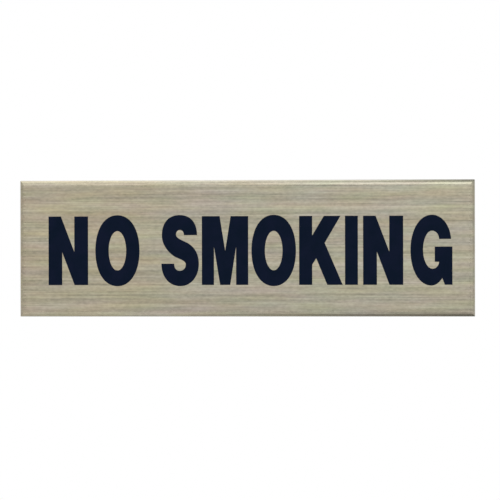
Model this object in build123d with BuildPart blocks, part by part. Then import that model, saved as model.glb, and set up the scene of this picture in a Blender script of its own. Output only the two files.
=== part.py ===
"""Stick-on door sign: a brushed metal plate with rolled-down front edges, on three strips of mounting tape.

The front faces -Y and the top is +Z. The origin is on the wall plane, behind the middle of the plate.
All sizes are in millimetres.
"""

import os

from build123d import *

# Plate
plate_length = 200.0
plate_height = 60.0
plate_thickness = 3.0
front_edge_radius = 2.2
corner_radius = 0.3
back_edge_break = 0.2

# Double-sided mounting tape: three upright strips across the back
tape_thickness = 1.0
tape_width = 19.0
tape_to_short_edge = 12.0
tape_to_long_edge = 8.0

os.makedirs("parts", exist_ok=True)

# The wall plane looks out of the wall at the reader, and the plate stands off it by the thickness of the tape.
wall_plane = Plane.XZ
plate_back_plane = wall_plane.offset(tape_thickness)

# Face plate: one blank with rolled-down front edges, barely rounded corners and a broken back edge
with BuildPart() as face_plate:
    with BuildSketch(plate_back_plane):
        Rectangle(plate_length, plate_height)
    extrude(amount=plate_thickness)
    front_edges = face_plate.faces().sort_by(Axis.Y)[0].edges()
    fillet(front_edges, front_edge_radius)
    # The short upright edges lead on into the mitres of the rolled edges, so these are rounded with them.
    corner_edges = face_plate.edges().filter_by(Axis.Y)
    fillet(corner_edges, corner_radius)
    back_edges = face_plate.faces().sort_by(Axis.Y)[-1].edges()
    chamfer(back_edges, back_edge_break)

face_plate.part.label = "face_plate"
export_step(face_plate.part, "parts/face_plate.step")

# Mounting tape: cut strips between the plate and the wall, set in so that none shows from the front
tape_length = plate_height - 2 * tape_to_long_edge
outer_tape_offset = plate_length / 2 - tape_to_short_edge - tape_width / 2

for tape_name, tape_offset in (
    ("left_tape", -outer_tape_offset),
    ("middle_tape", 0),
    ("right_tape", outer_tape_offset),
):
    with BuildPart() as tape:
        with BuildSketch(wall_plane):
            with Locations((tape_offset, 0)):
                Rectangle(tape_width, tape_length)
        extrude(amount=tape_thickness)
    tape.part.label = tape_name
    export_step(tape.part, f"parts/{tape_name}.step")
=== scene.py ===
"""Looks of the stick-on door sign: brushed metal plate, mounting tape and printed words.

Everything is in metres in the part's own frame: the front faces -Y, the top is +Z, and y = 0 is
the wall plane.
"""

import math

import bpy
from mathutils import Euler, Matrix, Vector
from mathutils.geometry import interpolate_bezier


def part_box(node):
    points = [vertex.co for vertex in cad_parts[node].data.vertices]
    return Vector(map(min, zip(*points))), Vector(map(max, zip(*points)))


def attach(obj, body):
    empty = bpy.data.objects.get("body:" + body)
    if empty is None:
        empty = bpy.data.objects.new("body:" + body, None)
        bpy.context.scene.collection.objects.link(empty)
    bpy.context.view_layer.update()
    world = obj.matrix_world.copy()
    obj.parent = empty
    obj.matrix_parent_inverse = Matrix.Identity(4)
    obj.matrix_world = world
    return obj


MM = 0.001
EDGE_RADIUS = 2.2 * MM
GROOVE_DEPTH = 0.03 * MM
# Noise keeps mostly between these two values.
NOISE_LOW, NOISE_HIGH = 0.30, 0.70

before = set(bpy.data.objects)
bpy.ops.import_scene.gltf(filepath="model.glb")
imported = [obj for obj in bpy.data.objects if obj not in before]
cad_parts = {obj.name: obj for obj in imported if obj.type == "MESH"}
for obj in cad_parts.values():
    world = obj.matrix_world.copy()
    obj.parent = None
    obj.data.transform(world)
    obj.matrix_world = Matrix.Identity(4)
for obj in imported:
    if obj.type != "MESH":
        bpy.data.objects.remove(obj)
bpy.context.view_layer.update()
plate_low, plate_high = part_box("face_plate")
front_y = plate_low.y
back_y = plate_high.y


# Node helpers


def new_material(name):
    """An empty node material with a Principled shader wired to its output."""
    material = bpy.data.materials.new(name)
    material.use_nodes = True
    tree = material.node_tree
    shader = tree.nodes["Principled BSDF"]
    return material, tree, shader


def add_node(tree, kind, **settings):
    node = tree.nodes.new(kind)
    for key, value in settings.items():
        setattr(node, key, value)
    return node


def clouds(tree, place, scale, detail):
    """Noise with no direction. Gives values around 0.5."""
    noise = add_node(tree, "ShaderNodeTexNoise")
    noise.inputs["Scale"].default_value = scale
    noise.inputs["Detail"].default_value = detail
    tree.links.new(place, noise.inputs["Vector"])
    return noise.outputs["Fac"]


def streaks(tree, place, length, width, detail, seed):
    """Noise drawn out along X: lines about `length` long and `width` wide. Gives values around 0.5."""
    mapping = add_node(tree, "ShaderNodeMapping")
    mapping.inputs["Scale"].default_value = (1 / length, 1 / width, 1 / width)
    mapping.inputs["Location"].default_value = (seed, seed, seed)
    tree.links.new(place, mapping.inputs["Vector"])
    return clouds(tree, mapping.outputs["Vector"], 1.0, detail)


def add_bump(tree, shader, height, strength, depth):
    """Fine relief on the shader's normal, from a height socket. `depth` is its size in metres."""
    bump = add_node(tree, "ShaderNodeBump")
    bump.inputs["Strength"].default_value = strength
    bump.inputs["Distance"].default_value = depth
    tree.links.new(height, bump.inputs["Height"])
    tree.links.new(bump.outputs["Normal"], shader.inputs["Normal"])


def arithmetic(tree, operation, *values):
    """A Math node. Each value is a socket or a plain number."""
    node = add_node(tree, "ShaderNodeMath", operation=operation)
    for socket, value in zip(node.inputs, values):
        if isinstance(value, (int, float)):
            socket.default_value = value
        else:
            tree.links.new(value, socket)
    return node.outputs[0]


def weighted_sum(tree, terms):
    """The sum of (value - 0.5) * weight over the terms: a variation around nought."""
    total = None
    for value, weight in terms:
        centred = arithmetic(tree, "SUBTRACT", value, 0.5)
        scaled = arithmetic(tree, "MULTIPLY", centred, weight)
        total = scaled if total is None else arithmetic(tree, "ADD", total, scaled)
    return total


def remap(tree, value, from_low, from_high, to_low, to_high):
    node = add_node(tree, "ShaderNodeMapRange")
    node.inputs["From Min"].default_value = from_low
    node.inputs["From Max"].default_value = from_high
    node.inputs["To Min"].default_value = to_low
    node.inputs["To Max"].default_value = to_high
    tree.links.new(value, node.inputs["Value"])
    return node.outputs["Result"]


def blend_colours(tree, factor, first, second, mode="MIX"):
    """A colour Mix node. Each colour is a socket or an RGB triple; the factor is a socket or a number."""
    node = add_node(tree, "ShaderNodeMix", data_type="RGBA", blend_type=mode)
    for name, value in (("Factor", factor), ("A", first), ("B", second)):
        wanted = "VALUE" if name == "Factor" else "RGBA"
        socket = next(s for s in node.inputs if s.name == name and s.type == wanted)
        if isinstance(value, tuple):
            socket.default_value = (*value, 1.0)
        elif isinstance(value, (int, float)):
            socket.default_value = value
        else:
            tree.links.new(value, socket)
    return next(s for s in node.outputs if s.type == "RGBA")


def object_place(tree):
    return add_node(tree, "ShaderNodeTexCoord").outputs["Object"]


# Materials


def distance_inside(tree, x, z):
    """How far a point lies inside the plate's outline, seen from the front."""
    to_end = arithmetic(tree, "SUBTRACT", plate_high.x, arithmetic(tree, "ABSOLUTE", x))
    to_side = arithmetic(tree, "SUBTRACT", plate_high.z, arithmetic(tree, "ABSOLUTE", z))
    return arithmetic(tree, "MINIMUM", to_end, to_side)


def brushed_metal():
    """Pale gold anodised aluminium, brushed along its length, with its rolled edges burnished smoother."""
    material, tree, shader = new_material("brushed_metal_look")
    place = object_place(tree)
    axes = add_node(tree, "ShaderNodeSeparateXYZ")
    tree.links.new(place, axes.inputs[0])
    x = axes.outputs["X"]
    y = axes.outputs["Y"]
    z = axes.outputs["Z"]

    bands = streaks(tree, place, length=0.250, width=0.0040, detail=0.0, seed=42.1)
    lines = streaks(tree, place, length=0.200, width=0.0014, detail=0.0, seed=26.2)
    threads = streaks(tree, place, length=0.070, width=0.0007, detail=0.0, seed=12.3)
    dashes = streaks(tree, place, length=0.012, width=0.0007, detail=1.0, seed=17.1)
    hairs = streaks(tree, place, length=0.050, width=0.00035, detail=1.0, seed=21.9)
    grain = streaks(tree, place, length=0.0016, width=0.0008, detail=1.0, seed=16.6)
    tone = weighted_sum(tree, (
        (bands, 0.20), (lines, 0.24), (threads, 0.28), (dashes, 0.40), (hairs, 0.34), (grain, 0.42),
    ))
    brightness = arithmetic(tree, "ADD", tone, 1.0)

    # The anodising drifts between straw and pewter, and between rose and green, and is warmer to the left.
    straw_noise = streaks(tree, place, length=0.034, width=0.0042, detail=2.0, seed=31.9)
    rose_noise = streaks(tree, place, length=0.026, width=0.0036, detail=2.0, seed=43.3)
    straw = remap(tree, straw_noise, NOISE_LOW, NOISE_HIGH, 0.0, 1.0)
    rose = remap(tree, rose_noise, NOISE_LOW, NOISE_HIGH, 0.0, 1.0)
    warm_metal, cool_metal = (0.330, 0.296, 0.216), (0.319, 0.296, 0.226)
    warm_up_to, cool_from = -0.055, -0.035
    left_end = remap(tree, x, warm_up_to, cool_from, 1.0, 0.0)
    ground = blend_colours(tree, left_end, cool_metal, warm_metal)
    straw_shift = blend_colours(tree, straw, (1.0, 1.0, 1.085), (1.0, 1.0, 0.915))
    rose_shift = blend_colours(tree, rose, (0.966, 1.02, 1.0), (1.034, 0.98, 1.0))
    metal = blend_colours(tree, 1.0, ground, straw_shift, mode="MULTIPLY")
    metal = blend_colours(tree, 1.0, metal, rose_shift, mode="MULTIPLY")
    brushed = blend_colours(tree, 1.0, metal, brightness, mode="MULTIPLY")
    # The back is anodised with the rest, but never brushed or burnished: it has only a faint grain
    # from the rolling mill.
    back_starts, back_ends = back_y - 0.1 * MM, back_y - 0.02 * MM
    mill_grain = 0.3
    at_back = remap(tree, y, back_starts, back_ends, 0.0, 1.0)
    brushing = remap(tree, at_back, 0.0, 1.0, 1.0, mill_grain)
    shaded = blend_colours(tree, brushing, ground, brushed)
    tree.links.new(shaded, shader.inputs["Base Color"])

    # The burnishing reaches a little way past the rolled edges onto the face.
    burnished, unburnished, unevenness = 0.24, 0.36, 0.12
    inside = distance_inside(tree, x, z)
    front_roughness = remap(tree, inside, EDGE_RADIUS, 1.6 * EDGE_RADIUS, burnished, unburnished)
    back_roughness = remap(tree, at_back, 0.0, 1.0, 0.0, unburnished)
    base_roughness = arithmetic(tree, "MAXIMUM", front_roughness, back_roughness)
    uneven = arithmetic(tree, "MULTIPLY", tone, unevenness)
    roughness = arithmetic(tree, "ADD", uneven, base_roughness)
    tree.links.new(roughness, shader.inputs["Roughness"])

    grooves = weighted_sum(tree, ((lines, 0.4), (threads, 0.4), (hairs, 1.0)))
    add_bump(tree, shader, grooves, strength=0.35, depth=GROOVE_DEPTH)

    # The highlight spreads across the brushing, so the tangent is square to X. The small upright part
    # leaves that as it is, and gives the flat ends, which face along X, a tangent at all.
    geometry = add_node(tree, "ShaderNodeNewGeometry")
    across = add_node(tree, "ShaderNodeVectorMath", operation="CROSS_PRODUCT")
    across.inputs[1].default_value = (1.0, 0.0, 0.0)
    tree.links.new(geometry.outputs["Normal"], across.inputs[0])
    tangent = add_node(tree, "ShaderNodeVectorMath", operation="ADD")
    tangent.inputs[1].default_value = (0.0, 0.0, 0.05)
    tree.links.new(across.outputs["Vector"], tangent.inputs[0])
    tree.links.new(tangent.outputs["Vector"], shader.inputs["Tangent"])

    shader.inputs["Metallic"].default_value = 1.0
    shader.inputs["Anisotropic"].default_value = 0.6
    return material


def tape_foam():
    """Off-white double-sided foam tape: a fine open grain with a slightly uneven, tacky face."""
    material, tree, shader = new_material("mounting_tape_look")
    place = object_place(tree)

    grain = add_node(tree, "ShaderNodeTexVoronoi", feature="F1")
    grain.inputs["Scale"].default_value = 2600.0
    tree.links.new(place, grain.inputs["Vector"])
    unevenness = clouds(tree, place, scale=120.0, detail=4.0)

    mottle = remap(tree, unevenness, NOISE_LOW, NOISE_HIGH, 0.0, 1.0)
    darker, paler = (0.70, 0.69, 0.64), (0.80, 0.79, 0.75)
    colour = blend_colours(tree, mottle, darker, paler)
    tree.links.new(colour, shader.inputs["Base Color"])
    smoothest, roughest = 0.42, 0.60
    roughness = remap(tree, unevenness, NOISE_LOW, NOISE_HIGH, smoothest, roughest)
    tree.links.new(roughness, shader.inputs["Roughness"])

    height = weighted_sum(tree, ((grain.outputs["Distance"], 0.6), (unevenness, 1.0)))
    add_bump(tree, shader, height, strength=0.5, depth=0.1 * MM)
    return material


def printed_ink():
    """Dark navy screen-printed ink, through which the brushing of the metal just shows."""
    material, tree, shader = new_material("printed_ink_look")
    place = object_place(tree)

    unevenness = clouds(tree, place, scale=160.0, detail=3.0)
    lines = streaks(tree, place, length=0.020, width=0.0006, detail=2.0, seed=5.5)

    cloud_low, cloud_high = 0.35, 0.65
    mottle = remap(tree, unevenness, cloud_low, cloud_high, 0.0, 1.0)
    darker, paler = (0.0018, 0.0060, 0.0170), (0.0034, 0.0070, 0.0210)
    colour = blend_colours(tree, mottle, darker, paler)
    tree.links.new(colour, shader.inputs["Base Color"])
    smoothest, roughest = 0.48, 0.62
    roughness = remap(tree, lines, NOISE_LOW, NOISE_HIGH, smoothest, roughest)
    tree.links.new(roughness, shader.inputs["Roughness"])

    add_bump(tree, shader, lines, strength=0.25, depth=GROOVE_DEPTH)

    shader.inputs["Specular IOR Level"].default_value = 0.04
    return material


plate_look = brushed_metal()
tape_look = tape_foam()
ink_look = printed_ink()

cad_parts["face_plate"].material_slots[0].material = plate_look
for tape_name in ("left_tape", "middle_tape", "right_tape"):
    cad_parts[tape_name].material_slots[0].material = tape_look


# Printed words

# Plain heavy capitals, drawn in millimetres from each letter's left edge and the baseline.
CAP_HEIGHT = 29.9
OVERSHOOT = 0.52
BASELINE = -15.91
INK_THICKNESS = 0.04
INK_SPREAD = 0.14
CURVE_STEPS = 20


def corner(x, z):
    """An outline point with straight sides."""
    return (Vector((x, z)), Vector((0, 0)), Vector((0, 0)))


def bend(x, z, arrive, leave):
    """An outline point on a curve. `arrive` and `leave` are its two handles, as offsets from it."""
    return (Vector((x, z)), Vector(arrive), Vector(leave))


def outline_points(nodes):
    """The outline's nodes joined by straight lines, or by cubic curves where a handle has a length."""
    points = []
    for (start, _, leave), (end, arrive, _) in zip(nodes, nodes[1:] + nodes[:1]):
        if leave.length == 0 and arrive.length == 0:
            points.append(start)
        else:
            curve = interpolate_bezier(start, start + leave, end + arrive, end, CURVE_STEPS)
            points.extend(point.to_2d() for point in curve[:-1])
    return points


def spread(points, amount):
    """The closed outline moved outwards by `amount`, or inwards if that is negative, with sharp corners."""
    next_points = points[1:] + points[:1]
    last_points = points[-1:] + points[:-1]
    turn = sum(point.cross(after) for point, after in zip(points, next_points))
    step = amount if turn < 0 else -amount
    moved = []
    for before, point, after in zip(last_points, points, next_points):
        arriving = (point - before).normalized()
        leaving = (after - point).normalized()
        first = Vector((-arriving.y, arriving.x))
        second = Vector((-leaving.y, leaving.x))
        moved.append(point + (first + second) * step / (1 + first.dot(second)))
    return moved


def oval(centre_x, low, high, half_width, fullness):
    """A closed oval. `fullness` is the handles' share of the half-axes.

    0.552 is very nearly an ellipse, and more is squarer.
    """
    centre_z = (low + high) / 2
    reach_x = half_width * fullness
    reach_z = (high - low) / 2 * fullness
    return [
        bend(centre_x, high, (-reach_x, 0), (reach_x, 0)),
        bend(centre_x + half_width, centre_z, (0, reach_z), (0, -reach_z)),
        bend(centre_x, low, (reach_x, 0), (-reach_x, 0)),
        bend(centre_x - half_width, centre_z, (0, -reach_z), (0, reach_z)),
    ]


def letter_n():
    width, left_stem, right_stem = 17.2, 5.75, 5.8
    cut, lean = 5.25, 0.378
    inner = width - right_stem
    foot = inner + 0.05
    return [[
        corner(0, CAP_HEIGHT),
        corner(cut, CAP_HEIGHT),
        corner(inner, CAP_HEIGHT - (inner - cut) / lean),
        corner(inner, CAP_HEIGHT),
        corner(width, CAP_HEIGHT),
        corner(width, 0),
        corner(foot, 0),
        corner(left_stem, (foot - left_stem) / lean),
        corner(left_stem, 0),
        corner(0, 0),
    ]]


def letter_o():
    outer_half, inner_half = 9.6, 4.0
    inner_low, inner_high = 6.13, 23.68
    outer = oval(outer_half, -OVERSHOOT, CAP_HEIGHT + OVERSHOOT, outer_half, fullness=0.60)
    inner = oval(outer_half, inner_low, inner_high, inner_half, fullness=0.56)
    return [outer, inner]


def letter_s():
    return [[
        bend(9.8, 21.88, (0, 1.3), (0, 0)),
        bend(15.3, 21.88, (0, 0), (0, 5.3)),
        bend(7.75, CAP_HEIGHT + OVERSHOOT, (4.7, 0), (-4.8, 0)),
        bend(0.1, 21.63, (0, 5.4), (0, -4.3)),
        bend(5.8, 12.33, (-2.6, 1.55), (2.6, -1.3)),
        bend(10.6, 8.78, (0, 1.9), (0, -1.6)),
        bend(7.9, 5.93, (1.5, 0), (-1.7, 0)),
        bend(5.25, 9.08, (0, -1.9), (0, 0)),
        bend(-0.1, 9.08, (0, 0), (0, -5.7)),
        bend(8.1, -OVERSHOOT, (-4.8, 0), (4.7, 0)),
        bend(16.08, 9.03, (0, -5.2), (0, 4.6)),
        bend(10.5, 18.53, (3.6, -1.7), (-2.2, 1.05)),
        bend(6.05, 21.93, (0, -1.5), (0, 1.3)),
        bend(7.9, 24.13, (-1.0, 0), (1.1, 0)),
    ]]


def letter_m():
    width, stem, centre = 20.07, 5.04, 10.1
    shoulder, valley = 2.53, 13.9
    foot, crotch = 2.1, 18.4
    return [[
        corner(0, CAP_HEIGHT),
        corner(centre - shoulder, CAP_HEIGHT),
        corner(centre, valley),
        corner(centre + shoulder, CAP_HEIGHT),
        corner(width, CAP_HEIGHT),
        corner(width, 0),
        corner(width - stem, 0),
        corner(width - stem, crotch),
        corner(centre + foot, 0),
        corner(centre - foot, 0),
        corner(stem, crotch),
        corner(stem, 0),
        corner(0, 0),
    ]]


def letter_k():
    stem = 5.45
    arm_meets_stem, leg_meets_stem = 21.0, 8.7
    arm_left, arm_right = 10.75, 17.7
    leg_left, leg_right = 12.25, 18.7
    return [[
        corner(0, CAP_HEIGHT),
        corner(stem, CAP_HEIGHT),
        corner(stem, arm_meets_stem),
        corner(arm_left, CAP_HEIGHT),
        corner(arm_right, CAP_HEIGHT),
        corner(10.9, 18.2),
        corner(leg_right, 0),
        corner(leg_left, 0),
        corner(7.35, 11.8),
        corner(stem, leg_meets_stem),
        corner(stem, 0),
        corner(0, 0),
    ]]


def letter_i():
    stem = 5.35
    return [[corner(0, CAP_HEIGHT), corner(stem, CAP_HEIGHT), corner(stem, 0), corner(0, 0)]]


def letter_g():
    top_overshoot, bottom_overshoot = 0.37, 0.35
    width, bar_left = 17.95, 10.55
    bar_top, bar_bottom = 16.38, 10.03
    return [[
        bend(12.45, 19.98, (-0.1, 1.9), (0, 0)),
        bend(17.4, 19.98, (0, 0), (-0.4, 5.6)),
        bend(9.2, CAP_HEIGHT + top_overshoot, (4.4, 0), (-5.2, 0)),
        bend(0, 15.03, (0, 8.9), (0, -9.0)),
        bend(9.0, -bottom_overshoot, (-5.2, 0), (2.1, 0)),
        bend(13.7, 3.18, (-0.9, -1.7), (0, 0)),
        corner(14.85, 0),
        corner(width, 0),
        corner(width, bar_top),
        corner(bar_left, bar_top),
        corner(bar_left, bar_bottom),
        bend(12.45, bar_bottom, (0, 0), (0, -1.9)),
        bend(9.45, 6.73, (1.5, 0), (-2.3, 0)),
        bend(5.2, 15.13, (0, -4.7), (0, 4.7)),
        bend(9.2, 23.58, (-2.2, 0), (1.9, 0)),
    ]]


# Each letter's left edge, from the middle of the plate.
LAYOUT = (
    (letter_n, -86.98),
    (letter_o, -66.28),
    (letter_s, -37.05),
    (letter_m, -19.36),
    (letter_o, 2.42),
    (letter_k, 23.28),
    (letter_i, 43.32),
    (letter_n, 51.21),
    (letter_g, 71.84),
)


def make_printed_words():
    """A thin raised film of ink on the front face, as one closed mesh."""
    curve = bpy.data.curves.new("words_outline", "CURVE")
    curve.dimensions = "2D"
    curve.fill_mode = "BOTH"
    curve.extrude = INK_THICKNESS / 2 * MM
    for letter, left in LAYOUT:
        for number, contour in enumerate(letter()):
            ink_side = 1 if number == 0 else -1
            points = spread(outline_points(contour), ink_side * INK_SPREAD)
            spline = curve.splines.new("POLY")
            spline.points.add(len(points) - 1)
            for spot, point in zip(spline.points, points):
                spot.co = ((point.x + left) * MM, (point.y + BASELINE) * MM, 0.0, 1.0)
            spline.use_cyclic_u = True
    flat = bpy.data.objects.new("words_outline", curve)
    bpy.context.scene.collection.objects.link(flat)
    flat.rotation_euler = (math.radians(90), 0.0, 0.0)
    flat.location = (0.0, front_y - INK_THICKNESS / 2 * MM, 0.0)
    bpy.context.view_layer.update()

    graph = bpy.context.evaluated_depsgraph_get()
    mesh = bpy.data.meshes.new_from_object(flat.evaluated_get(graph))
    mesh.transform(flat.matrix_world)
    mesh.materials.clear()
    mesh.materials.append(ink_look)
    bpy.data.objects.remove(flat)
    words = bpy.data.objects.new("printed_words", mesh)
    bpy.context.scene.collection.objects.link(words)
    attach(words, "root")


make_printed_words()


# Studio

FLOOR_Z = -0.35
FLOOR_RADIUS = 3.0


def light_path_is_seen(tree):
    """1 for rays that see the background straight, in a reflection or through glass, else 0."""
    light_path = add_node(tree, "ShaderNodeLightPath")
    camera_or_glossy = arithmetic(
        tree, "MAXIMUM", light_path.outputs["Is Camera Ray"], light_path.outputs["Is Glossy Ray"]
    )
    return arithmetic(tree, "MAXIMUM", camera_or_glossy, light_path.outputs["Is Transmission Ray"])


def make_world():
    world = bpy.data.worlds.new("studio")
    world.use_nodes = True
    tree = world.node_tree
    background = tree.nodes["Background"]
    background.inputs["Color"].default_value = (1.0, 1.0, 1.0, 1.0)
    fill_level = 0.6
    seen = light_path_is_seen(tree)
    strength = remap(tree, seen, 0.0, 1.0, fill_level, 1.0)
    tree.links.new(strength, background.inputs["Strength"])
    bpy.context.scene.world = world


def make_floor():
    """A pale round floor well below the sign, which fades into the white background."""
    bpy.ops.mesh.primitive_circle_add(
        vertices=96, radius=FLOOR_RADIUS, fill_type="NGON", location=(0.0, 0.0, FLOOR_Z)
    )
    floor = bpy.context.object
    floor.name = "floor"
    material, tree, shader = new_material("floor_look")
    shader.inputs["Base Color"].default_value = (0.86, 0.86, 0.86, 1.0)
    shader.inputs["Roughness"].default_value = 0.9
    fade_starts, fade_ends = 0.30, 1.20
    distance = add_node(tree, "ShaderNodeVectorMath", operation="LENGTH")
    tree.links.new(object_place(tree), distance.inputs[0])
    fade = remap(tree, distance.outputs["Value"], fade_starts, fade_ends, 0.0, 1.0)
    white = add_node(tree, "ShaderNodeEmission")
    white.inputs["Strength"].default_value = 1.0
    amount = arithmetic(tree, "MULTIPLY", fade, light_path_is_seen(tree))
    mixed = add_node(tree, "ShaderNodeMixShader")
    tree.links.new(amount, mixed.inputs["Fac"])
    tree.links.new(shader.outputs["BSDF"], mixed.inputs[1])
    tree.links.new(white.outputs["Emission"], mixed.inputs[2])
    tree.links.new(mixed.outputs["Shader"], tree.nodes["Material Output"].inputs["Surface"])
    floor.data.materials.append(material)


def aim(thing, target):
    direction = Vector(target) - thing.location
    thing.rotation_mode = "QUATERNION"
    thing.rotation_quaternion = direction.to_track_quat("-Z", "Y")


def add_softbox(name, place, size, power):
    """A rectangular area lamp aimed at the middle of the sign. Its power is in watts."""
    lamp = bpy.data.lights.new(name, "AREA")
    lamp.shape = "RECTANGLE"
    lamp.size, lamp.size_y = size
    lamp.energy = power
    thing = bpy.data.objects.new(name, lamp)
    bpy.context.scene.collection.objects.link(thing)
    thing.location = place
    aim(thing, (0.0, 0.0, 0.0))


def add_flag(name, height, clear_x, dark_x, darkness):
    """A level black gauze out of the camera's sight, which only darkens what the metal's edges reflect.

    It is clear up to clear_x and thickens to its full darkness at dark_x.
    """
    front, back, right = -0.15, 0.40, 0.35
    corners = ((clear_x, front), (right, front), (right, back), (clear_x, back))
    mesh = bpy.data.meshes.new(name)
    mesh.from_pydata([(x, y, height) for x, y in corners], [], [(0, 1, 2, 3)])
    card = bpy.data.objects.new(name, mesh)
    bpy.context.scene.collection.objects.link(card)
    material, tree, shader = new_material(name + "_look")
    shader.inputs["Base Color"].default_value = (0.01, 0.01, 0.01, 1.0)
    shader.inputs["Roughness"].default_value = 1.0
    axes = add_node(tree, "ShaderNodeSeparateXYZ")
    tree.links.new(object_place(tree), axes.inputs[0])
    cover = remap(tree, axes.outputs["X"], clear_x, dark_x, 0.0, darkness)
    tree.links.new(cover, shader.inputs["Alpha"])
    mesh.materials.append(material)
    card.visible_camera = False
    card.visible_diffuse = False
    card.visible_shadow = False


def make_camera():
    """Almost square on to the front, as in the photo: a little to the right, and barely rolled.

    centre_column and centre_row are where the plate's middle lies in the picture, in pixels.
    """
    lens, sensor = 100.0, 36.0
    turn, roll = math.radians(2.0), math.radians(0.10)
    frame_pixels = 500.0
    plate_pixels = 454.5
    centre_column, centre_row = 246.45, 248.3
    camera_data = bpy.data.cameras.new("camera")
    camera_data.lens = lens
    camera_data.sensor_width = sensor
    camera = bpy.data.objects.new("camera", camera_data)
    bpy.context.scene.collection.objects.link(camera)

    metres_per_pixel = (plate_high.x - plate_low.x) * math.cos(turn) / plate_pixels
    distance = metres_per_pixel * frame_pixels * lens / sensor
    rotation = Euler((math.radians(90), roll, turn))
    from_sign = Vector((
        (frame_pixels / 2 - centre_column) * metres_per_pixel,
        (centre_row - frame_pixels / 2) * metres_per_pixel,
        distance,
    ))
    widest_middle = Vector((0.0, front_y + EDGE_RADIUS, 0.0))
    camera.location = widest_middle + rotation.to_matrix() @ from_sign
    camera.rotation_euler = rotation
    bpy.context.scene.camera = camera


make_world()
make_floor()
add_softbox("key_light", place=(-0.05, -0.69, 0.98), size=(1.3, 1.2), power=2.75)
add_softbox("front_light", place=(-0.27, -1.10, 0.38), size=(1.26, 0.45), power=1.2)
add_softbox("top_light", place=(-0.25, 0.41, 1.13), size=(1.1, 1.3), power=5.6)
add_softbox("right_light", place=(0.32, -1.00, 0.66), size=(0.6, 1.0), power=1.75)
add_softbox("side_light", place=(0.80, -0.86, 0.12), size=(0.9, 0.5), power=0.4)
add_softbox("low_light", place=(-0.13, -0.26, -0.26), size=(0.42, 0.25), power=0.12)
add_softbox("bounce_light", place=(-0.15, 0.0, -0.29), size=(0.35, 0.24), power=0.06)
add_flag("upper_flag", height=0.35, clear_x=0.07, dark_x=0.20, darkness=1.0)
add_flag("lower_flag", height=-0.28, clear_x=-0.02, dark_x=0.15, darkness=0.65)
make_camera()

bpy.context.scene.view_settings.view_transform = "Standard"
